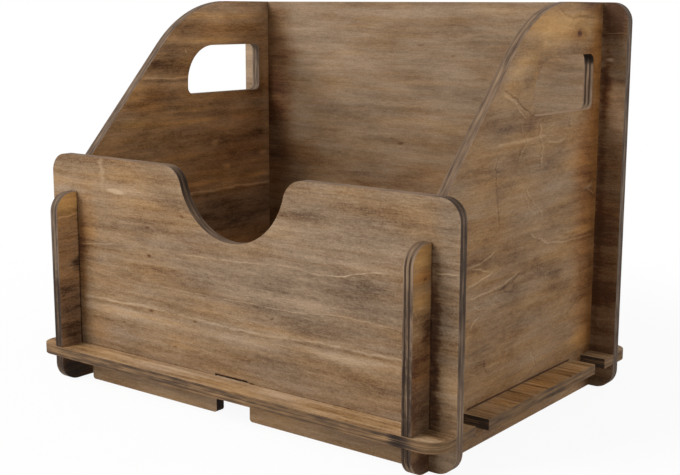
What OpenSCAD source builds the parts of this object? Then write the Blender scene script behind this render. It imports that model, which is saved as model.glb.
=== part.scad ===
// Record storage crate: five flat plywood panels that slot into each other.
// Units are millimetres. X runs from left to right, -Y is the low front and
// Z is up. The origin is on the floor, midway between the side panels and
// midway between the front and back panels.

/* [Board] */

// thickness of all five panels
board_t = 8; // [6:0.5:10]

// play between a panel and each wall of the slot that holds it
slot_play = 0.1; // [0.05:0.05:0.3]

// radius of the outer corners of every panel
corner_r = 15.5; // [8:0.5:17]

// radius of the lower corners of the tabs under the front and back panels
tab_corner_r = 2.5; // [1:0.5:5]

/* [Overall] */

// width of the front, back and base panels
crate_w = 400; // [380:2:440]

// distance over the outer faces of the front and back panels
crate_d = 246; // [236:2:280]

// distance that each side panel stands in from the ends of the other panels
side_inset = 21.5; // [18:0.5:26]

// height of the top of the base above the floor
base_top_z = 29.5; // [26:0.5:36]

// height at which the upright panels meet in their half-depth slots
lap_z = 92; // [50:2:140]

/* [Base panel] */

// distance that the base reaches past the front and back panels
base_overhang = 22.5; // [18:0.5:26]

// distance from the outer face of the front panel to the side panel's upright
post_start = 24; // [20:0.5:30]

// width of each upright that joins the foot of a side panel to its wall
post_w = 17.5; // [12:0.5:24]

/* [Front and back panels] */

// height of the front panel
front_h = 187; // [177:2:211]

// height of the back panel and of the top of the side panels
back_h = 312; // [290:2:330]

// distance from the middle of the crate to the near end of a tab
tab_near_x = 17; // [8:1:30]

// distance from the middle of the crate to the far end of a tab
tab_far_x = 158.5; // [140:0.5:162]

// gap over the base between the two tabs of a panel
middle_gap = 0.8; // [0.2:0.1:2]

// radius of the round scoop in the top of the front panel
scoop_r = 53; // [40:1:60]

// radius that eases the top edge into the scoop
scoop_shoulder_r = 18; // [8:1:24]

/* [Side panels] */

// distance that the side panels reach past the front and back panels
side_overhang = 21.5; // [18:0.5:26]

// height of the side panel outside the front and back panels
side_tab_z = 157; // [145:2:165]

// angle of the sloping front edge above the level
slope = 46.8; // [44:0.2:50]

// height at which the slope leaves the front panel
slope_z = 176.5; // [168:0.5:178]

// radius from the slope to the level top
brow_r = 116; // [60:2:120]

/* [Hand holes] */

// distance from the outer face of the front panel to the hand hole
hole_start = 129.5; // [120:0.5:136]

// length of the hand hole, front to back
hole_w = 95; // [80:1:100]

// height of the lower edge of the hand hole
hole_z = 229.5; // [220:0.5:236]

// height of the hand hole itself
hole_h = 43; // [40:0.5:48]

// radius of the upper front corner of the hand hole
hole_big_r = 32.5; // [12:0.5:34]

// radius of its other three corners
hole_small_r = 6; // [3:0.5:6]

/* [Hidden] */

$fn = 96;

end_x = crate_w / 2;
side_out_x = end_x - side_inset;
side_in_x = side_out_x - board_t;
front_y = -crate_d / 2;
back_y = crate_d / 2;
base_under_z = base_top_z - board_t;
post_y = front_y + post_start;
tongue_y = post_y + post_w;
cut = 1;

base_tint = [0.50, 0.38, 0.27];
front_tint = [0.55, 0.45, 0.35];
back_tint = [0.44, 0.36, 0.29];
side_tint = [0.47, 0.35, 0.23];

// ---- outlines ----

module rect(x0, y0, x1, y1) {
    translate([x0, y0])
        square([x1 - x0, y1 - y0]);
}

module round_rect(x0, y0, x1, y1, r) {
    rect(x0 + r, y0, x1 - r, y1);
    rect(x0, y0 + r, x1, y1 - r);
    for (x = [x0 + r, x1 - r], y = [y0 + r, y1 - r])
        translate([x, y])
            circle(r);
}

// what is cut away to round a square corner at (x, y)
// sx and sy point from the corner into the board
module corner_waste(x, y, sx, sy, r) {
    difference() {
        translate([x + sx * (r - cut) / 2, y + sy * (r - cut) / 2])
            square(r + cut, center = true);
        translate([x + sx * r, y + sy * r])
            circle(r);
    }
}

// draws its children and their mirror image across the drawing's upright axis
module both_sides() {
    children();
    mirror([1, 0])
        children();
}

// draws its children and their mirror image across the drawing's level axis
module both_ends() {
    children();
    mirror([0, 1])
        children();
}

// ---- front and back panels, drawn as seen from the front ----

// openings along the lower edge, on the right half
module lower_edge_waste() {
    // slot that straddles a side panel
    rect(side_in_x - slot_play, -cut, side_out_x + slot_play, lap_z);
    // step that sits on the base between the slot and the tab
    rect(tab_far_x, -cut, side_in_x, base_top_z);
    corner_waste(tab_far_x, 0, -1, 1, tab_corner_r);
    corner_waste(tab_near_x, 0, 1, 1, tab_corner_r);
}

module upright_outline(height) {
    difference() {
        round_rect(-end_x, 0, end_x, height, corner_r);
        both_sides()
            lower_edge_waste();
        rect(-tab_near_x, -cut, tab_near_x, base_top_z + middle_gap);
    }
}

// half-round scoop with its centre on the top edge, eased at both shoulders
module scoop_waste() {
    reach = scoop_r + scoop_shoulder_r;
    shoulder_x = sqrt(reach * reach - scoop_shoulder_r * scoop_shoulder_r);
    join_x = shoulder_x * scoop_r / reach;
    join_y = -scoop_shoulder_r * scoop_r / reach;
    translate([0, front_h]) {
        circle(scoop_r);
        difference() {
            polygon([
                [-shoulder_x, cut],
                [-shoulder_x, 0],
                [-join_x, join_y],
                [join_x, join_y],
                [shoulder_x, 0],
                [shoulder_x, cut]
            ]);
            both_sides()
                translate([shoulder_x, -scoop_shoulder_r])
                    circle(scoop_shoulder_r);
        }
    }
}

// stands a front-view outline up as a board whose front face is at y
module stand_across(y) {
    translate([0, y + board_t, 0])
        rotate([90, 0, 0])
            linear_extrude(board_t)
                children();
}

// ---- side panels, drawn as seen from the right ----

// waste above the sloping edge, with its rounded brow
module brow_waste() {
    start_y = front_y + board_t;
    corner_y = start_y + (back_h - slope_z) / tan(slope);
    ease = brow_r * tan(slope / 2);
    polygon([
        [start_y, slope_z],
        [corner_y, back_h],
        [corner_y, back_h + cut],
        [front_y - side_overhang - cut, back_h + cut],
        [front_y - side_overhang - cut, side_tab_z],
        [front_y + board_t / 2, side_tab_z],
        [front_y + board_t / 2, slope_z]
    ]);
    difference() {
        polygon([
            [corner_y - ease * cos(slope), back_h - ease * sin(slope)],
            [corner_y + ease, back_h],
            [corner_y + ease, back_h + cut],
            [corner_y, back_h + cut],
            [corner_y - cut, back_h]
        ]);
        translate([corner_y + ease, back_h - brow_r])
            circle(brow_r, $fn = 180);
    }
}

module hand_hole() {
    y0 = front_y + hole_start;
    y1 = y0 + hole_w;
    z1 = hole_z + hole_h;
    difference() {
        rect(y0, hole_z, y1, z1);
        corner_waste(y0, z1, 1, -1, hole_big_r);
        corner_waste(y0, hole_z, 1, 1, hole_small_r);
        corner_waste(y1, hole_z, -1, 1, hole_small_r);
        corner_waste(y1, z1, -1, -1, hole_small_r);
    }
}

// slots at one end: a level one for the base, an upright one for a panel
module end_slots() {
    rect(front_y - side_overhang - cut, base_under_z, post_y + slot_play, base_top_z + slot_play);
    rect(front_y - slot_play, lap_z, front_y + board_t + slot_play, back_h + cut);
}

module side_outline() {
    end_y = back_y + side_overhang;
    difference() {
        rect(-end_y, 0, end_y, back_h);
        brow_waste();
        rect(back_y - board_t / 2, side_tab_z, end_y + cut, back_h + cut);
        both_sides() {
            end_slots();
            corner_waste(-end_y, 0, 1, 1, corner_r);
            corner_waste(-end_y, side_tab_z, 1, -1, corner_r);
        }
        rect(tongue_y - slot_play, base_under_z, slot_play - tongue_y, base_top_z + slot_play);
        hand_hole();
    }
}

// stands a side-view outline up as a board whose left face is at x
module stand_along(x) {
    translate([x, 0, 0])
        rotate([90, 0, 90])
            linear_extrude(board_t)
                children();
}

// ---- base panel, drawn as seen from above ----

// openings in the right front quarter
module base_waste() {
    // notch that an end of the front panel drops into
    rect(side_out_x, front_y - slot_play, end_x + cut, front_y + board_t + slot_play);
    // notch round an upright of the side panel
    rect(side_in_x - slot_play, post_y, end_x + cut, tongue_y);
    // mortise for a tab of the front panel
    rect(
        tab_near_x - slot_play,
        front_y - slot_play,
        tab_far_x + slot_play,
        front_y + board_t + slot_play
    );
}

module base_outline() {
    ledge_y = back_y + base_overhang;
    difference() {
        round_rect(-end_x, -ledge_y, end_x, ledge_y, corner_r);
        both_ends()
            both_sides()
                base_waste();
    }
}

// ---- the five panels ----

module base_panel() {
    color(base_tint)
        translate([0, 0, base_under_z])
            linear_extrude(board_t)
                base_outline();
}

module front_panel() {
    color(front_tint)
        stand_across(front_y)
            difference() {
                upright_outline(front_h);
                scoop_waste();
            }
}

module back_panel() {
    color(back_tint)
        stand_across(back_y - board_t)
            upright_outline(back_h);
}

module left_side_panel() {
    color(side_tint)
        stand_along(-side_out_x)
            side_outline();
}

module right_side_panel() {
    color(side_tint)
        stand_along(side_in_x)
            side_outline();
}

base_panel();
front_panel();
back_panel();
left_side_panel();
right_side_panel();
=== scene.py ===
import math

import bpy
from mathutils import Matrix, Vector


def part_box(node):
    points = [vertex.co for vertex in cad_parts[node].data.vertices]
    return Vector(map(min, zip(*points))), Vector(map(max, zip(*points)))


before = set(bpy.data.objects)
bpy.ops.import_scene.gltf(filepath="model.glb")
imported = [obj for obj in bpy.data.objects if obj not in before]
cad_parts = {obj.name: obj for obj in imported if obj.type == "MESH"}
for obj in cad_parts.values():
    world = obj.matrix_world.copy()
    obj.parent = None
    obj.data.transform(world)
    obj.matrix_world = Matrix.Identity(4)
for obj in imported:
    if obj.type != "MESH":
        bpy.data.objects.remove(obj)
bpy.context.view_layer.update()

X, Y, Z = 0, 1, 2
MM = 1000.0  # millimetres in a metre


def srgb(red, green, blue):
    """A colour as a screen shows it, 0 to 255, turned into the shader's linear colour."""
    def linear(value):
        value /= 255
        return value / 12.92 if value <= 0.04045 else ((value + 0.055) / 1.055) ** 2.4
    return (linear(red), linear(green), linear(blue), 1)


class Graph:
    """Short calls that build the nodes of one material, or of the world."""

    def __init__(self, owner):
        self.owner = owner
        owner.use_nodes = True
        self.tree = owner.node_tree
        self.tree.nodes.clear()

    def node(self, kind, **settings):
        node = self.tree.nodes.new(kind)
        for key, value in settings.items():
            setattr(node, key, value)
        return node

    def put(self, socket, value):
        if isinstance(value, bpy.types.NodeSocket):
            self.tree.links.new(value, socket)
        else:
            socket.default_value = value

    def math(self, operation, a, b=0.0, c=0.0, clamp=False):
        node = self.node("ShaderNodeMath", operation=operation, use_clamp=clamp)
        for socket, value in zip(node.inputs, (a, b, c)):
            self.put(socket, value)
        return node.outputs[0]

    def add(self, *terms):
        total = terms[0]
        for term in terms[1:]:
            total = self.math("ADD", total, term)
        return total

    def times(self, a, b):
        return self.math("MULTIPLY", a, b)

    def greatest(self, *terms):
        total = terms[0]
        for term in terms[1:]:
            total = self.math("MAXIMUM", total, term)
        return total

    def clamped(self, value, offset=0.0):
        return self.math("ADD", value, offset, clamp=True)

    def step(self, value, start, end, low=0.0, high=1.0):
        """Goes smoothly from low to high while value goes from start to end."""
        node = self.node("ShaderNodeMapRange", interpolation_type="SMOOTHSTEP")
        for name, setting in (("Value", value), ("From Min", start), ("From Max", end),
                              ("To Min", low), ("To Max", high)):
            self.put(node.inputs[name], setting)
        return node.outputs["Result"]

    def mix(self, factor, a, b, blend="MIX"):
        node = self.node("ShaderNodeMix", data_type="RGBA", blend_type=blend)
        # where the colours' own sockets stand in this node
        factor_place, a_place, b_place, result_place = 0, 6, 7, 2
        self.put(node.inputs[factor_place], factor)
        self.put(node.inputs[a_place], a)
        self.put(node.inputs[b_place], b)
        return node.outputs[result_place]

    def vector(self, x, y, z):
        node = self.node("ShaderNodeCombineXYZ")
        for socket, value in zip(node.inputs, (x, y, z)):
            self.put(socket, value)
        return node.outputs[0]

    def split(self, vector):
        node = self.node("ShaderNodeSeparateXYZ")
        self.put(node.inputs[0], vector)
        return node.outputs

    def length(self, vector):
        node = self.node("ShaderNodeVectorMath", operation="LENGTH")
        self.put(node.inputs[0], vector)
        return node.outputs["Value"]

    def noise(self, place, sizes, seed, detail=2.0, rough=0.5, twist=0.0):
        """Noise about 0 whose blobs have the given sizes along each part of place."""
        point = self.vector(*(
            self.math("MULTIPLY_ADD", part, 1 / size, seed * 7.31 + 3.7 * index)
            for index, (part, size) in enumerate(zip(place, sizes))
        ))
        node = self.node("ShaderNodeTexNoise", noise_dimensions="3D")
        self.put(node.inputs["Vector"], point)
        for name, setting in (("Scale", 1.0), ("Detail", detail), ("Roughness", rough),
                              ("Distortion", twist)):
            self.put(node.inputs[name], setting)
        return self.math("SUBTRACT", node.outputs[0], 0.5)

    def background_ray(self):
        """1 for the rays that should see a plain white background, 0 for those that carry light."""
        rays = self.node("ShaderNodeLightPath").outputs
        return self.greatest(rays["Is Camera Ray"], rays["Is Glossy Ray"], rays["Is Transmission Ray"])

    def blend_shaders(self, factor, first, second, output):
        blend = self.node("ShaderNodeMixShader")
        for socket, value in zip(blend.inputs, (factor, first.outputs[0], second.outputs[0])):
            self.put(socket, value)
        self.put(self.node(output).inputs["Surface"], blend.outputs[0])


# ---- camera, fitted to the corners and edges of the panels in the photograph ----

SENSOR_WIDTH = 36
LENS = 63.224
SHIFT_X, SHIFT_Y = -0.0441, -0.0184
EYE = (0.59768, -0.75906, 0.30586)
YAW, PITCH, ROLL = 36.438, -10.2644, 0.375

camera_data = bpy.data.cameras.new("camera")
camera_data.sensor_width = SENSOR_WIDTH
camera_data.lens = LENS
camera_data.shift_x = SHIFT_X
camera_data.shift_y = SHIFT_Y
camera = bpy.data.objects.new("camera", camera_data)
bpy.context.scene.collection.objects.link(camera)
camera.matrix_world = (
    Matrix.Translation(EYE)
    @ Matrix.Rotation(math.radians(YAW), 4, "Z")
    @ Matrix.Rotation(math.radians(90 + PITCH), 4, "X")
    @ Matrix.Rotation(math.radians(ROLL), 4, "Z")
)
bpy.context.scene.camera = camera
bpy.context.scene.view_settings.view_transform = "Standard"

# ---- wood ----

# the outer ply
LIGHT_GREY = srgb(176, 150, 122)
LIGHT_GOLD = srgb(192, 150, 94)
DARK_GREY = srgb(84, 65, 49)
DARK_GOLD = srgb(88, 58, 37)
PALE_SCRATCH = srgb(206, 180, 146)

# these two multiply the colour below them
RED_STAIN = (1.0, 0.78, 0.58, 1)
# this darkens where a tone goes below zero: black stains, knots and dark joints, and also painted shade
# beside the tabs, under the ledge and in the hand hole
BLACK_STAIN_AND_SHADE = (0.22, 0.22, 0.23, 1)

# the cut edges
EDGE_DARK = srgb(66, 52, 42)
LONG_CROSS_PLY = srgb(70, 48, 34)
END_CROSS_PLY = srgb(44, 30, 20)
GLUE_CREAM = srgb(168, 138, 104)

SATIN = 0.62  # roughness of the plain wood
RELIEF_HEIGHT = 0.001  # metres of bump for a relief of 1
BUMP_STRENGTH = 0.6
SPECULAR = 0.15


class Board(Graph):
    """Stained plywood whose outer ply runs along one axis of the frame. Its lengths are millimetres."""

    def __init__(self, name, panel, grain, cross, through, seed):
        super().__init__(bpy.data.materials.new(name))
        self.seed = seed
        lowest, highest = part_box(panel)
        middle = MM * (lowest[through] + highest[through]) / 2
        xyz = self.split(self.node("ShaderNodeTexCoord").outputs["Object"])
        self.along = self.times(xyz[grain], MM)
        self.across = self.times(xyz[cross], MM)
        self.depth = self.math("MULTIPLY_ADD", xyz[through], MM, -middle)
        self.place = (self.along, self.across, self.depth)
        normal = self.split(self.node("ShaderNodeNewGeometry").outputs["Normal"])
        # 1 on the two faces and 0 on the cut edges, where on_end is 1 if the grain ends there
        facing = self.math("ABSOLUTE", normal[through])
        self.on_face = self.step(facing, 0.75, 0.97)
        self.on_edge = self.step(facing, 0.7, 0.2)
        self.on_end = self.step(self.math("ABSOLUTE", normal[grain]), 0.72, 0.97)
        # marks follow the wood's own small waves, and hairlines follow smaller ones too
        self.mark_along = self.add(self.along, self.wave(14, 5, 9.0))
        self.mark_across = self.add(self.across, self.wave(22, 7, 3.2))
        self.line_along = self.add(self.mark_along, self.wave(12, 7, 9.0))
        self.line_across = self.add(self.mark_across, self.wave(9, 9, 1.6))
        self.breaks = self.step(self.layer(9, 6), -0.16, 0.05, 0.45, 1.0)
        self.tone_terms = []
        self.gold_terms = []
        self.pale_terms = []
        self.red_terms = []
        self.edge_terms = []

    def layer(self, length, height, detail=2.0, rough=0.5, twist=0.0):
        """Noise with a seed of its own, whose blobs have this length and height."""
        self.seed += 1
        return self.noise(self.place, (length, height, 9), self.seed, detail, rough, twist)

    def wave(self, length, height, reach):
        """A shift that wanders over the board, by up to about half of reach to either side."""
        return self.times(self.layer(length, height), reach)

    def side(self, sign):
        """1 on the board's face towards the given sign of its depth axis, 0 on the other face."""
        return self.step(self.depth, -sign, sign)

    def spot(self, along, across, length, height, tilt=0.0, soft=0.9):
        """An oval mark, 1 in its middle. The sizes are half its length and half its height."""
        out_along = self.math("SUBTRACT", self.mark_along, along)
        out_across = self.math("SUBTRACT", self.mark_across, across)
        if tilt:
            cos, sin = math.cos(math.radians(tilt)), math.sin(math.radians(tilt))
            out_along, out_across = (
                self.add(self.times(out_along, cos), self.times(out_across, sin)),
                self.add(self.times(out_along, -sin), self.times(out_across, cos)),
            )
        scaled = self.vector(self.times(out_along, 1 / length), self.times(out_across, 1 / height), 0.0)
        return self.step(self.length(scaled), 1.0 + soft * 0.3, 1.0 - soft)

    def line(self, points, width):
        """A hairline through the points, and the shade beside it. It runs along the grain or across it."""
        wide = max(along for along, across in points) - min(along for along, across in points)
        tall = max(across for along, across in points) - min(across for along, across in points)
        run, rise = self.line_along, self.line_across
        if tall > wide:
            run, rise = rise, run
            points = [(across, along) for along, across in points]
        points = sorted(points)
        start, end = points[0][0], points[-1][0]
        low = min(point[1] for point in points) - 1
        high = max(point[1] for point in points) + 1
        share = self.math("MULTIPLY_ADD", run, 1 / (end - start), -start / (end - start))
        curve = self.node("ShaderNodeFloatCurve")
        bends = curve.mapping.curves[0].points
        scaled = [((a - start) / (end - start), (b - low) / (high - low)) for a, b in points]
        bends[0].location, bends[1].location = scaled[0], scaled[-1]
        for place in scaled[1:-1]:
            bends.new(*place)
        curve.mapping.update()
        self.put(curve.inputs["Value"], share)
        height = self.math("MULTIPLY_ADD", curve.outputs[0], high - low, low)
        gap = self.math("SUBTRACT", rise, height)
        fade_length = 6
        fade = min(fade_length / (end - start), 0.4)
        inside = self.times(self.step(share, 0.0, fade), self.step(share, 1.0, 1.0 - fade))
        core = self.times(self.step(self.math("ABSOLUTE", gap), width, 0.0), inside)
        beside = self.math("ABSOLUTE", self.math("SUBTRACT", gap, -1.8 * width))
        return core, self.times(self.step(beside, 1.6 * width, 0.0), inside)

    def band(self, along, across):
        """1 inside a sharp rectangle, given by its start and end along and across the grain."""
        blur = 0.4
        sides = []
        for place, (start, end) in ((self.along, along), (self.across, across)):
            sides += [self.step(place, start - blur, start + blur), self.step(place, end + blur, end - blur)]
        return self.times(self.times(sides[0], sides[1]), self.times(sides[2], sides[3]))

    def mark(self, shape, tone=0.0, gold=0.0, pale=0.0, red=0.0, where=None):
        """Makes the outer ply lighter, more golden, scratched pale or redder inside the shape."""
        if where is not None:
            shape = self.times(shape, where)
        for terms, amount in ((self.tone_terms, tone), (self.gold_terms, gold),
                              (self.pale_terms, pale), (self.red_terms, red)):
            if amount:
                terms.append(self.times(shape, amount))

    def marks(self, where, spots=(), lines=(), edges=()):
        """Spots and lines mark one face of the board, and edges mark its cut edges.

        A spot is its place along and across the grain, half length, half height, tilt, tone, gold and red.
        A line is the points that it passes through, half width, tone and paleness.
        An edge mark is its place, half length, half height and tone.
        """
        for along, across, length, height, tilt, tone, gold, red in spots:
            self.mark(self.spot(along, across, length, height, tilt), tone, gold, red=red, where=where)
        for points, width, tone, pale in lines:
            core, beside = self.line(points, width)
            self.mark(self.times(core, self.breaks), tone, pale=pale, where=where)
            self.mark(beside, -0.35 * tone, where=where)
        for along, across, length, height, tone in edges:
            self.edge_terms.append(self.times(self.spot(along, across, length, height), tone))

    def figure(self, length, height, amount):
        """Thin wandering lines, where the saw has cut through the growth rings."""
        ring_count, offset = 7.0, 20.0  # the offset keeps the growth above 0
        growth = self.math("MULTIPLY_ADD", self.layer(length, height, detail=1.5), ring_count, offset)
        rings = self.math("PINGPONG", growth, 0.5)
        shown = self.step(self.layer(length, height), 0.02, 0.16)
        self.mark(self.times(self.step(rings, 0.06, 0.0), shown), tone=-amount)
        self.mark(self.times(self.step(rings, 0.44, 0.5), shown), tone=amount)

    def pin_knots(self, where=None):
        """Small dark knots, a hand's breadth apart."""
        length, height, depth = 75, 42, 9
        point = self.vector(
            self.times(self.mark_along, 1 / length),
            self.times(self.mark_across, 1 / height),
            self.math("MULTIPLY_ADD", self.depth, 1 / depth, self.seed * 1.7),
        )
        cells = self.node("ShaderNodeTexVoronoi", feature="F1")
        self.put(cells.inputs["Vector"], point)
        rim, core = 0.055, 0.02  # as shares of a cell
        self.mark(self.step(cells.outputs["Distance"], rim, core), tone=-0.5, where=where)

    def paint_faces(self, shade, gold, red=0.0, lift=1.0, clouds=0.5, patches=1.0, patch_length=36,
                    streaks=0.7, fibres=1.0, fade=0.9):
        """The outer ply's colour. Tone goes from dark to light, and gold from grey to golden."""
        light_grey = tuple(lift * part for part in LIGHT_GREY)
        light_gold = tuple(lift * part for part in LIGHT_GOLD)
        cloud = self.layer(60, 26)
        patch = self.layer(patch_length, 11, detail=2.5, rough=0.55, twist=0.3)
        self.streak = self.layer(90, 4.2)
        self.fibre = self.layer(7, 0.9, rough=0.6)
        self.speck = self.layer(1.6, 1.2, detail=1)
        tone = self.add(
            0.4 + shade,
            self.times(cloud, clouds),
            self.times(patch, patches),
            self.times(self.streak, streaks),
            self.times(self.fibre, 0.6 * fibres),
            self.times(self.speck, 0.45 * fibres),
            *self.tone_terms,
        )
        golden = self.add(
            0.3 + gold,
            self.times(self.layer(80, 22), 1.3),
            self.times(self.layer(50, 4), 0.8),
            self.times(self.add(tone, -0.4), -fade),
            *self.gold_terms,
        )
        # a tone below zero blackens the wood: dark stains and painted shade alike
        blackening_and_shade = self.math("MULTIPLY", tone, -2.2, clamp=True)
        tone = self.clamped(tone)
        golden = self.clamped(golden)
        grey_wood = self.mix(tone, DARK_GREY, light_grey)
        gold_wood = self.mix(tone, DARK_GOLD, light_gold)
        face = self.mix(golden, grey_wood, gold_wood)
        stain = self.add(red, self.times(self.layer(30, 12), 0.3 + abs(red)), *self.red_terms)
        face = self.mix(self.clamped(stain), face, RED_STAIN, "MULTIPLY")
        if self.pale_terms:
            face = self.mix(self.clamped(self.add(*self.pale_terms)), face, PALE_SCRATCH)
        self.face = self.mix(blackening_and_shade, face, BLACK_STAIN_AND_SHADE, "MULTIPLY")

    def paint_edges(self, light, shade, plies, end_shade=0.0, ply_shift=0.0, long_plies=0.3, run=26,
                    line=0.6, seams=0.0):
        """The cut edges' colour. The five plies show most on the end grain."""
        # level is the distance from the board's middle: a core ply, a glue line, a cross ply, an outer ply
        wander = self.noise(self.place, (30, 30, 30), self.seed + 1)
        level = self.math("ABSOLUTE", self.add(self.depth, self.times(wander, 0.35), ply_shift))
        cross_ply = self.times(self.step(level, 0.55, 0.9), self.step(level, 2.7, 2.3))
        glue = self.times(self.step(level, 0.35, 0.6), self.step(level, 0.95, 0.7))
        self.edge_streak = self.noise(self.place, (run, run, line), self.seed + 2, detail=3, rough=0.6)
        patch = self.noise(self.place, (18, 18, 3), self.seed + 3)
        tone = self.add(self.times(self.edge_streak, 1.2), self.times(patch, 1.3), *self.edge_terms)
        light = srgb(*light)
        long_edge = self.mix(self.clamped(tone, 0.4 + shade), EDGE_DARK, light)
        long_edge = self.mix(self.times(cross_ply, long_plies), long_edge, LONG_CROSS_PLY)
        if seams:
            outer_seam = self.times(self.step(level, 1.9, 2.5), self.step(level, 3.4, 2.9))
            middle_seam = self.times(self.step(level, 0.6, 0.2), 0.6)
            broken = self.step(patch, 0.2, -0.05, 0.4, 1.0)
            seam = self.times(self.greatest(outer_seam, middle_seam), broken)
            long_edge = self.mix(self.times(seam, seams), long_edge, EDGE_DARK)
        end_edge = self.mix(self.clamped(tone, 0.4 + end_shade), EDGE_DARK, light)
        end_edge = self.mix(self.times(cross_ply, plies), end_edge, END_CROSS_PLY)
        edge = self.mix(self.on_end, long_edge, end_edge)
        cream = self.times(glue, self.step(patch, -0.1, 0.15, 0.1, 0.55))
        edge = self.mix(cream, edge, GLUE_CREAM)
        # an edge tone below about -0.4 blackens the edge: scorched wood and painted shade alike
        blackening_and_shade = self.math("MULTIPLY", self.add(tone, 0.38), -1.0, clamp=True)
        self.edge = self.mix(blackening_and_shade, edge, BLACK_STAIN_AND_SHADE, "MULTIPLY")

    def finish(self):
        """Puts both colours, the roughness and the bump on the shader, and gives the material."""
        roughness = self.add(
            SATIN,
            self.times(self.streak, -0.25),
            self.times(self.speck, 0.2),
            self.times(self.on_edge, 0.12),
        )
        relief = self.add(
            self.times(self.fibre, 0.10),
            self.times(self.streak, 0.08),
            self.times(self.speck, 0.03),
            self.times(self.times(self.edge_streak, self.on_edge), 0.25),
        )
        bump = self.node("ShaderNodeBump")
        self.put(bump.inputs["Height"], self.times(relief, RELIEF_HEIGHT))
        self.put(bump.inputs["Strength"], BUMP_STRENGTH)
        self.put(bump.inputs["Distance"], 1.0)
        shader = self.node("ShaderNodeBsdfPrincipled")
        self.put(shader.inputs["Base Color"], self.mix(self.on_face, self.edge, self.face))
        self.put(shader.inputs["Roughness"], roughness)
        self.put(shader.inputs["Normal"], bump.outputs[0])
        self.put(shader.inputs["Specular IOR Level"], SPECULAR)
        output = self.node("ShaderNodeOutputMaterial")
        self.put(output.inputs["Surface"], shader.outputs[0])
        return self.owner


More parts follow.
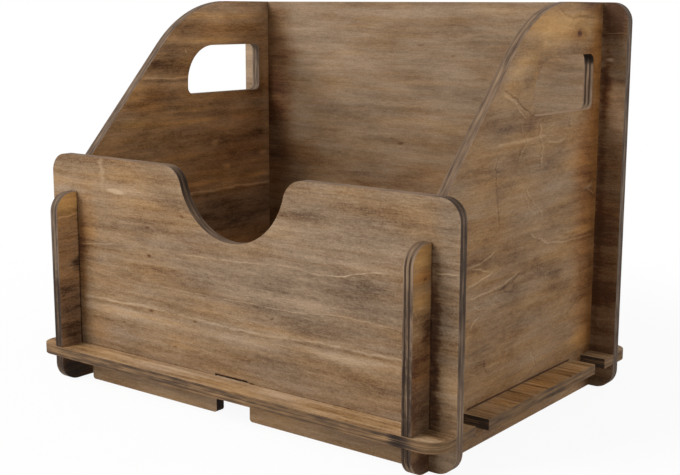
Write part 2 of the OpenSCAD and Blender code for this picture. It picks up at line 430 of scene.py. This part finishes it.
def front_ply():
    b = Board("front_ply", "front_panel", grain=X, cross=Z, through=Y, seed=100)
    outside = b.side(-1)
    inside = b.side(1)
    b.marks(outside, spots=[
        # pin knots
        (-88, 114, 2.6, 1.5, 0, -0.5, 0.2, 0.4),
        (-50, 149, 3.0, 1.2, 0, -0.35, 0.2, 0.4),
        (-89, 136, 3.4, 0.9, 0, -0.35, 0.2, 0.3),
        (-86, 69.5, 3.2, 0.9, 0, -0.4, 0.2, 0.3),
        (-38, 68, 2.4, 1.0, 0, -0.35, 0.2, 0.3),
        (-118, 55, 2.4, 1.0, 0, -0.35, 0.2, 0.3),
        (40, 83.5, 2.4, 1.1, 0, -0.4, 0.0, 0.2),
        (104, 73, 2.4, 1.0, 0, -0.35, 0.2, 0.2),
        (-60, 45, 2.6, 1.2, 0, -0.25, 0.3, 0.3),
        (-23, 105, 1.6, 0.8, 0, -0.3, 0.0, 0.0),
        # grey-brown clouds
        (104, 115, 46, 12, 4, -0.09, -0.2, 0),
        (132, 122, 28, 9, 6, -0.08, -0.25, 0),
        (84, 86, 64, 9, 2, -0.1, -0.25, 0),
        (112, 104, 38, 8, 3, -0.08, -0.2, 0),
        (72, 162, 24, 7, 0, -0.14, -0.1, 0),
        (90, 140, 90, 56, 0, 0.02, -0.3, 0),
        (-96, 128, 22, 7, 0, -0.1, 0.0, 0),
        (-50, 105, 44, 6, 0, -0.1, -0.1, 0),
        (30, 92, 50, 6, 0, -0.1, -0.2, 0),
        (-62, 160, 26, 7, -10, -0.08, -0.1, 0),
        (40, 46, 130, 9, 1, -0.1, -0.05, 0),
        (60, 80, 120, 3.5, 1, -0.1, -0.1, 0),
        # painted shadow beside the left side panel's tab, over a brown stain
        (-176, 95, 6, 62, 0, -0.38, 0.1, 0.2),
        (-168, 100, 8, 60, 0, -0.26, 0.35, 0.4),
        # pale, grey and golden areas
        (-110, 63, 84, 6, -1, 0.22, 0.15, 0),
        (-10, 63, 130, 4.5, 0, 0.14, 0.1, 0),
        (118, 66, 50, 5, 2, 0.2, 0.1, 0),
        (-130, 71, 50, 1.8, 1, 0.25, 0.1, 0),
        (-110, 165, 66, 26, 0, 0.0, 0.2, 0),
        (20, 105, 100, 34, 0, 0.07, -0.3, 0),
        (-10, 66, 150, 9, 0, 0.08, -0.1, 0),
        (-150, 44, 22, 13, 0, 0.03, 0.35, 0.3),
        (-158, 130, 12, 40, 0, 0.0, 0.35, 0.3),
        (-110, 98, 70, 20, 0, 0.03, 0.2, 0),
        # end beyond the right side panel's tab
        (192, 112, 14, 34, 0, 0.0, -0.45, 0),
        (192, 165, 14, 26, 0, -0.02, -0.5, -0.1),
        (192, 64, 14, 12, 0, 0.22, 0.2, 0),
        (192, 40, 14, 12, 0, -0.05, -0.1, 0.0),
        (192, 12, 18, 16, 0, 0.36, -0.25, 0.0),
        # painted shadow beside that tab
        (181, 100, 5.5, 58, 0, -0.45, 0.0, 0.1),
        (181.5, 50, 6, 34, 0, -0.5, 0.0, 0.1),
        (182, 8, 5, 14, 0, -0.35, -0.2, 0),
        # the panel's own tabs under the base
        (0, 6, 190, 16, 0, 0.28, 0.2, 0),
        (-90, 8, 66, 16, 0, 0.1, 0.0, 0),
    ], lines=[
        ([(-170, 113), (-150, 116), (-120, 118.5)], 0.9, 0.15, 0.15),
        ([(-52, 120), (0, 121), (40, 123.5), (92, 123), (108, 124.5), (118, 128), (142, 131)],
         0.75, 0.06, 0.18),
        ([(92, 123), (108, 124.5), (118, 128), (142, 131)], 0.7, 0.08, 0.28),
        ([(-75, 90), (-20, 91), (60, 92), (110, 95), (158, 94)], 0.7, 0.06, 0.18),
        ([(180, 137), (200, 138)], 0.6, 0.1, 0.5),
        ([(-168, 70.5), (-86, 71.5), (20, 69.5), (100, 73), (158, 72.5)], 1.7, 0.22, 0.1),
    ], edges=[
        # right end
        (200, 140, 8, 60, -0.3),
        # top, right and left of the scoop
        (125, 189, 74, 5, 0.5),
        (-125, 189, 74, 5, 0.5),
        # right end, low down
        (200, 50, 8, 34, 0.32),
        (200, 12, 8, 16, 0.35),
        # left shoulder of the scoop
        (-54, 176, 10, 14, -0.35),
        # upper right corner
        (192, 184, 14, 10, -0.6),
        # near end of the left tab
        (-17, 15, 4, 18, -1.4),
    ])
    gap_over_base = b.band((-18, 15), (28, 31.3))
    gap_end = b.band((14, 22), (28, 30.3))
    base_joint = b.band((-168, 168), (28, 30))
    right_tab_joint = b.band((178.4, 179.3), (29, 156))
    b.mark(gap_over_base, tone=-0.9, where=outside)
    b.mark(gap_end, tone=-0.5, where=outside)
    b.mark(base_joint, tone=-0.2, where=outside)
    b.mark(right_tab_joint, tone=-0.2, where=outside)
    upper_left_scratch = b.spot(-124, 161.5, 12, 2.4, -4, 0.5)
    upper_left_scuff = b.spot(-140, 178, 3, 16)
    b.mark(upper_left_scratch, pale=0.4, where=outside)
    b.mark(upper_left_scuff, pale=0.22, where=outside)
    b.pin_knots(inside)
    b.figure(150, 26, 0.05)
    b.paint_faces(shade=-0.02, gold=0.05, patches=0.58, patch_length=80, streaks=0.55, fibres=1.1)
    b.paint_edges(light=(152, 127, 105), shade=-0.05, end_shade=-0.14, plies=0.3)
    return b.finish()


def right_ply():
    b = Board("right_ply", "right_side_panel", grain=Y, cross=Z, through=X, seed=200)
    outside = b.side(1)
    inside = b.side(-1)
    b.marks(outside, spots=[
        # golden crown
        (44, 292, 86, 18, 0, 0.3, 0.7, 0.05),
        (-16, 262, 26, 12, 30, 0.26, 0.5, 0.0),
        (10, 262, 10, 14, 30, 0.1, 0.4, 0),
        # knots and small marks in the crown
        (76, 288, 4.5, 3.0, 0, -0.4, 0.3, 0.7),
        (76, 288, 12, 6, 0, -0.1, 0.3, 0.3),
        (22, 282, 3.4, 2.6, 0, 0.2, 0.1, 0),
        (68, 288, 30, 4, 0, -0.08, 0.3, 0.2),
        (98, 306, 16, 5, 0, -0.06, 0.3, 0.3),
        # clouds
        (-30, 181, 22, 9, 8, -0.1, -0.2, 0),
        (40, 196, 40, 10, 12, -0.06, -0.2, 0),
        (10, 158, 40, 11, 0, -0.08, -0.2, 0),
        (25, 105, 64, 10, 3, -0.06, -0.2, 0),
        (-20, 134, 20, 6, 0, 0.08, 0.0, 0),
        (-30, 65, 46, 24, 0, -0.08, -0.1, 0),
        (-20, 225, 40, 9, 0, -0.06, 0.0, 0),
        (-62, 200, 20, 26, 0, 0.06, 0.3, 0.1),
        (30, 132, 44, 11, -4, 0.08, 0.0, 0),
        (-55, 121, 28, 7, 2, 0.1, 0.1, 0),
        # red-brown rear
        (96, 172, 22, 18, 0, -0.18, 0.0, 0.4),
        (109, 250, 8, 34, 0, 0.22, 0.0, -0.2),
        (102, 105, 26, 10, 0, -0.14, -0.1, 0.3),
        (98, 45, 26, 12, 0, 0.22, 0.4, 0),
        (92, 135, 34, 3.5, -2, 0.22, 0.3, -0.2),
        (98, 262, 20, 20, 0, 0.0, 0.4, 0.4),
        (112, 215, 12, 60, 0, 0.05, 0.4, 0.4),
        (85, 200, 30, 30, 0, 0.0, 0.2, 0.3),
        (108, 284, 12, 34, 0, 0.1, 0.4, 0.6),
        # painted light beside the back panel's end, lifting the shade it casts on this face
        (117, 170, 10, 150, 0, 0.14, 0.0, 0.2),
        # tab in front of the front panel, from the top down to its foot
        (-134, 150, 16, 10, 0, 0.3, 0.9, 0.1),
        (-134, 136, 16, 7, 0, 0.2, 0.5, 0.7),
        (-134, 120, 16, 12, 0, 0.36, 0.8, 0.2),
        (-134, 146, 14, 4, 0, 0.2, 0.2, 0),
        (-130, 134, 2.4, 1.2, 0, -0.35, 0.0, 0.3),
        (-126, 98, 8, 12, 0, -0.35, -0.2, 0.2),
        (-134, 72, 18, 34, 0, -0.2, -0.1, 0.6),
        (-134, 40, 18, 22, 0, -0.28, -0.5, 0.1),
        (-143, 50, 6, 40, 0, -0.2, 0.0, 0.2),
        (-134, 8, 18, 14, 0, -0.42, -0.3, 0.1),
    ], lines=[
        # dark lines in the crown
        ([(37, 311), (48, 305), (62, 301), (80, 301), (106, 299)], 1.5, -0.2, 0.0),
        ([(-38, 251), (-24, 247), (-12, 240), (6, 231)], 1.6, -0.28, 0.0),
        # veins, most of them pale
        ([(-38, 247), (-24, 243.5), (-14, 236), (0, 226)], 1.1, 0.16, 0.15),
        ([(21, 228), (20, 215), (23, 204), (20, 190)], 1.5, 0.2, 0.08),
        ([(71, 228), (69, 222), (73, 217)], 1.2, 0.18, 0.1),
        ([(-7, 226), (-9, 219), (-1, 213), (-10, 205), (-12, 197)], 1.2, 0.2, 0.1),
        ([(-46, 213), (-20, 213), (30, 215)], 1.8, 0.16, 0.05),
        ([(30, 212), (44, 208), (60, 211)], 1.6, 0.16, 0.08),
        ([(44, 139), (70, 132), (112, 134)], 2.0, 0.14, 0.04),
        ([(-2, 178), (8, 160), (22, 152)], 1.2, 0.14, 0.06),
        ([(2, 182), (6, 172), (16, 163), (30, 151)], 1.3, 0.18, 0.06),
        ([(6, 144), (20, 139), (40, 132), (112, 128)], 1.2, 0.18, 0.1),
        ([(-42, 206), (-43, 180), (-38, 160), (-42, 150)], 1.2, -0.2, 0.0),
        ([(-80, 132), (-60, 133), (-40, 140)], 1.0, 0.2, 0.25),
        ([(-78, 131), (-62, 128), (-46, 124)], 1.0, 0.2, 0.2),
        ([(-80, 118), (-62, 120), (-44, 124)], 1.2, 0.2, 0.2),
        ([(-80, 110), (-50, 110), (-20, 114), (-6, 118)], 1.1, 0.2, 0.15),
        ([(-46, 108), (-20, 111), (-6, 115), (6, 113)], 1.6, -0.14, 0.0),
        ([(-72, 104), (-60, 98)], 1.0, 0.2, 0.15),
        ([(-76, 87), (-60, 97)], 1.0, 0.2, 0.15),
        ([(14, 56), (20, 45), (26, 34)], 1.2, -0.2, 0.0),
        # fork at the rear
        ([(100, 167), (112, 175)], 1.0, 0.25, 0.2),
        ([(100, 167), (112, 160)], 1.0, 0.25, 0.2),
        # scratch on the tab
        ([(-138, 115), (-124, 114)], 0.9, 0.1, 0.4),
    ], edges=[
        # walls of the hand hole: painted shade on the top wall, which faces down, and a painted highlight on
        # the bottom wall, which faces up
        (102, 270, 24, 6, -1.2),
        (40, 228, 70, 4, 1.2),
        # front edge of the tab and its foot
        (-146, 58, 6, 62, -0.6),
        (-146, 12, 8, 14, -0.3),
    ])
    front_panel_joint = b.band((-124, -122), (29, 157))
    base_joint = b.band((-76, 78), (28, 31))
    b.mark(front_panel_joint, tone=-0.3, where=outside)
    b.mark(base_joint, tone=-0.5, where=outside)
    red_rear = b.spot(128, 140, 54, 170, soft=0.5)
    fork_scuff = b.spot(102, 168, 9, 2.2)
    b.mark(red_rear, tone=-0.1, gold=0.15, red=0.9, where=outside)
    b.mark(fork_scuff, pale=0.2, where=outside)
    b.pin_knots(inside)
    b.figure(60, 38, 0.13)
    b.paint_faces(shade=-0.06, gold=0.25, red=0.12, lift=1.22, clouds=0.65, patches=0.52, streaks=0.32,
                  fibres=0.8)
    b.paint_edges(light=(153, 126, 101), shade=0.08, end_shade=0.14, plies=0.85, ply_shift=0.6)
    return b.finish()


def left_ply():
    b = Board("left_ply", "left_side_panel", grain=Y, cross=Z, through=X, seed=300)
    inside = b.side(1)
    outside = b.side(-1)
    b.marks(inside, spots=[
        # golden and dark streaks
        (60, 300, 74, 5, 0, 0.2, 0.3, -0.2),
        (60, 288, 44, 6, 0, -0.1, 0.1, 0.2),
        (20, 277, 64, 3, 0, 0.2, 0.3, -0.2),
        (-24, 255, 34, 6, 0, -0.3, 0.1, 0.1),
        (-35, 234, 16, 10, 0, -0.25, 0.1, 0.2),
        (-60, 208, 28, 6, 0, 0.12, 0.4, -0.3),
        (30, 216, 70, 3, 0, 0.15, 0.3, -0.2),
        (90, 232, 30, 9, 0, -0.2, 0.2, 0.4),
        (-44, 224, 30, 14, 0, -0.05, 0.2, 0.3),
        (-60, 240, 14, 5, 0, 0.3, 0.3, -0.2),
        (10, 205, 60, 3, 0, 0.22, 0.3, 0.0),
        (70, 172, 54, 16, 0, -0.16, -0.3, 0.5),
        (111, 230, 6, 80, 0, 0.18, 0.0, 0),
        (100, 148, 24, 3, 0, 0.25, 0.3, 0.0),
        (86, 205, 26, 4, 0, 0.15, 0.2, 0.2),
        (60, 188, 60, 9, 0, -0.15, 0.1, 0.2),
        # pale flecks
        (40, 183, 6, 3.5, 0, 0.4, 0.3, -0.2),
        (55, 160, 6, 3.5, 0, 0.4, 0.3, -0.2),
        (105, 169, 8, 2.5, 0, 0.35, 0.3, 0),
        (24, 148, 28, 4, 2, 0.35, 0.3, 0),
        # painted shade on the lower part inside the box, seen over the front panel
        (50, 116, 100, 20, 0, -0.32, -0.9, 0.0),
        # tab in front of the front panel, and its foot
        (-134, 148, 18, 14, 0, 0.42, 0.8, -0.6),
        (-134, 112, 18, 22, 0, -0.14, 0.1, 0),
        (-124, 98, 9, 8, 0, -0.5, -0.3, 0),
        (-134, 58, 22, 38, 0, -0.32, -0.6, 0.2),
        (-128, 38, 12, 16, 0, -0.25, -0.3, 0),
        # painted shade on the foot, under the ledge of the base panel
        (-134, 8, 26, 15, 0, -1.1, -0.6, 0),
        # rear foot
        (134, 8, 26, 15, 0, -0.5, -0.3, 0),
    ], edges=[
        # front edge of the tab and its foot
        (-146, 55, 6, 52, -0.75),
        (-146, 10, 8, 16, -0.3),
    ], lines=[
        ([(-50, 246), (0, 244.5), (60, 245)], 1.3, 0.4, 0.2),
        ([(-10, 139), (40, 139.5), (118, 139)], 1.7, 0.6, 0.45),
        # scratch on the tab
        ([(-146, 137), (-122, 139)], 1.2, 0.3, 0.3),
        # scratch beside the hand hole
        ([(5, 272), (5.5, 264)], 1.2, 0.3, 0.3),
    ])
    front_panel_joint = b.band((-124.2, -122), (29, 157))
    b.mark(front_panel_joint, tone=-0.45, where=inside)
    # the whole panel is made lighter (lift 1.55 below) as painted light for its weakly lit inner face; here
    # the outer face is brought back down to match the right side panel
    b.mark(outside, tone=-0.24, gold=-0.1, red=-0.2)
    b.pin_knots(outside)
    b.figure(120, 20, 0.06)
    fainter_outside = b.math("MULTIPLY_ADD", outside, -0.5, 0.85)
    b.paint_faces(shade=0.11, gold=0.17, red=0.42, lift=1.55, clouds=0.6, patches=fainter_outside,
                  streaks=0.5, fade=0.25)
    b.paint_edges(light=(147, 126, 107), shade=-0.08, plies=0.45)
    return b.finish()


def back_ply():
    b = Board("back_ply", "back_panel", grain=X, cross=Z, through=Y, seed=400)
    inside = b.side(-1)
    outside = b.side(1)
    b.marks(inside, spots=[
        # pin knots
        (5, 275, 4.5, 1.4, 0, -0.25, 0.0, 0.2),
        (-15, 187, 4.5, 1.8, 0, -0.3, 0.0, 0.2),
        (38, 266, 2.2, 1.6, 0, -0.2, 0.2, 0.2),
        # long streaks
        (2, 274, 30, 7, 0, -0.1, -0.2, 0),
        (40, 236, 64, 6, 0, -0.1, -0.1, 0),
        (-60, 229, 64, 5, 0, -0.1, -0.1, 0),
        (-40, 219, 80, 2.5, 0, -0.08, -0.1, 0),
        (-95, 190, 30, 8, 0, -0.1, 0.1, 0),
        (-40, 190, 24, 6, 0, -0.08, -0.1, 0),
        (10, 207, 100, 8, 0, 0.08, 0.1, 0),
        (-80, 254, 44, 5, 0, 0.1, 0.2, 0),
        # darker red-brown on the left, beside the left side panel, and the pale top
        (-165, 210, 28, 130, 0, -0.4, 0.2, 0.8),
        (-30, 304, 110, 7, 0, 0.22, -0.1, 0),
        (-128, 170, 26, 14, 0, -0.22, 0.2, 0.4),
        # end seen through the left hand hole
        (-192, 252, 15, 34, 0, 0.14, -0.5, -0.2),
        # a less red patch and a dark streak on the left, and painted shade low down, behind the front
        # panel's top edge
        (-162, 180, 10, 30, 0, 0.04, -0.2, -0.6),
        (-145, 263, 22, 6, 0, -0.15, 0.1, 0.2),
        (-40, 155, 150, 20, 0, -0.16, 0.1, 0.2),
        # beyond the right side panel: darker red-brown further out, and painted shadow close beside that
        # panel
        (190, 302, 16, 40, 0, -0.54, -0.2, 0.4),
        (190, 110, 18, 130, 0, -0.4, 0.0, 0.5),
        (181, 170, 6, 190, 0, -0.3, 0.0, 0.3),
        (184, 247, 5, 30, 0, -0.22, 0.2, 0.4),
        (190, 245, 18, 34, 0, -0.16, 0.0, 0.2),
        # broad shades
        (-80, 250, 60, 50, 0, 0.05, 0.0, 0),
        (145, 250, 24, 26, 0, -0.1, -0.1, 0),
        (-120, 90, 120, 40, 0, -0.12, 0.1, 0.1),
    ], lines=[
        ([(180, 287), (190, 288), (200, 289)], 0.8, 0.2, 0.1),
    ])
    right_scratch = b.spot(186, 267.5, 5, 1.8, 3)
    b.mark(right_scratch, pale=0.5, where=inside)
    b.pin_knots(outside)
    b.figure(170, 26, 0.04)
    b.paint_faces(shade=0.08, gold=-0.05, red=0.06, patches=0.75, patch_length=60, streaks=0.35,
                  fibres=0.85)
    b.paint_edges(light=(144, 126, 110), shade=-0.1, end_shade=-0.2, plies=0.15)
    return b.finish()


def base_ply():
    b = Board("base_ply", "base_panel", grain=X, cross=Y, through=Z, seed=500)
    top = b.side(1)
    b.marks(top, spots=[
        # ledge in front of the front panel, from left to right
        (-80, -135, 100, 9, 0, 0.16, 0.1, 0),
        (100, -135, 90, 9, 0, -0.07, 0.15, 0),
        (152, -135, 14, 9, 0, -0.2, 0.0, 0),
        (190, -133, 14, 14, 0, -0.18, 0.0, 0),
        # ledge beyond the right side panel
        (190, 0, 16, 90, 0, 0.0, 0.5, 0.4),
    ], edges=[
        # front edge: dark beside the right tab, a shade along the left and middle, and a pale stretch
        (168, -145, 10, 4, -1.1),
        (-60, -145, 60, 4, -0.12),
        (140, -145, 20, 4, 0.1),
    ])
    # the walls that face the front in the two notches beyond the right side panel: painted shade in the
    # notch, over scorched wood
    notch_run = (178, 199.5)
    for wall in (-81.5, 99):
        notch_wall = b.band(notch_run, (wall - 1, wall + 1))
        b.edge_terms.append(b.times(notch_wall, -0.45))
    b.pin_knots()
    b.figure(90, 30, 0.06)
    b.paint_faces(shade=0.12, gold=0.25, lift=1.3, patch_length=60, streaks=1.2, fibres=1.3)
    b.paint_edges(light=(150, 116, 80), shade=0.04, end_shade=0.05, plies=0.25, long_plies=0.0, run=110,
                  line=1.3, seams=0.8)
    return b.finish()


BOARDS = {
    "base_panel": base_ply(),
    "front_panel": front_ply(),
    "back_panel": back_ply(),
    "left_side_panel": left_ply(),
    "right_side_panel": right_ply(),
}

for name, material in BOARDS.items():
    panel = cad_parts[name]
    panel.data.materials.clear()
    panel.data.materials.append(material)

# ---- floor and background ----

WHITE = (1, 1, 1, 1)
FLOOR_GREY = (0.9, 0.9, 0.9, 1)
FLOOR_REACH = 6  # metres from the crate to each border
# the floor's share of plain white, near the crate and beyond the shadow
NEAR_WHITE, FAR_WHITE = 0.93, 1.0
SHADOW_START, SHADOW_END = 0.3, 0.7
WORLD_FILL = 0.33

floor_mesh = bpy.data.meshes.new("floor")
corners = [(x * FLOOR_REACH, y * FLOOR_REACH, 0) for x, y in ((-1, -1), (1, -1), (1, 1), (-1, 1))]
floor_mesh.from_pydata(corners, [], [(0, 1, 2, 3)])
floor = bpy.data.objects.new("floor", floor_mesh)
bpy.context.scene.collection.objects.link(floor)
g = Graph(bpy.data.materials.new("white_floor"))
paint = g.node("ShaderNodeBsdfDiffuse")
g.put(paint.inputs["Color"], FLOOR_GREY)
glow = g.node("ShaderNodeEmission")
g.put(glow.inputs["Color"], WHITE)
distance = g.length(g.node("ShaderNodeTexCoord").outputs["Object"])
plain_white = g.step(distance, SHADOW_START, SHADOW_END, NEAR_WHITE, FAR_WHITE)
g.blend_shaders(g.times(g.background_ray(), plain_white), paint, glow, "ShaderNodeOutputMaterial")
floor_mesh.materials.append(g.owner)

g = Graph(bpy.data.worlds.new("studio"))
bpy.context.scene.world = g.owner
fill = g.node("ShaderNodeBackground")
white = g.node("ShaderNodeBackground")
for background, strength in ((fill, WORLD_FILL), (white, 1.0)):
    g.put(background.inputs["Color"], WHITE)
    g.put(background.inputs["Strength"], strength)
g.blend_shaders(g.background_ray(), fill, white, "ShaderNodeOutputWorld")

# ---- light ----

AIM = (0, 0, 0.15)


def lamp(name, place, width, power):
    """A square soft box that faces the middle of the crate."""
    data = bpy.data.lights.new(name, "AREA")
    data.shape = "SQUARE"
    data.size = width
    data.energy = power
    light = bpy.data.objects.new(name, data)
    bpy.context.scene.collection.objects.link(light)
    light.location = place
    light.rotation_euler = (Vector(AIM) - Vector(place)).to_track_quat("-Z", "Y").to_euler()


lamp("key", place=(-0.97, -1.68, 1.56), width=1.2, power=53)
lamp("rear_right", place=(1.87, 1.31, 0.89), width=1.6, power=18)
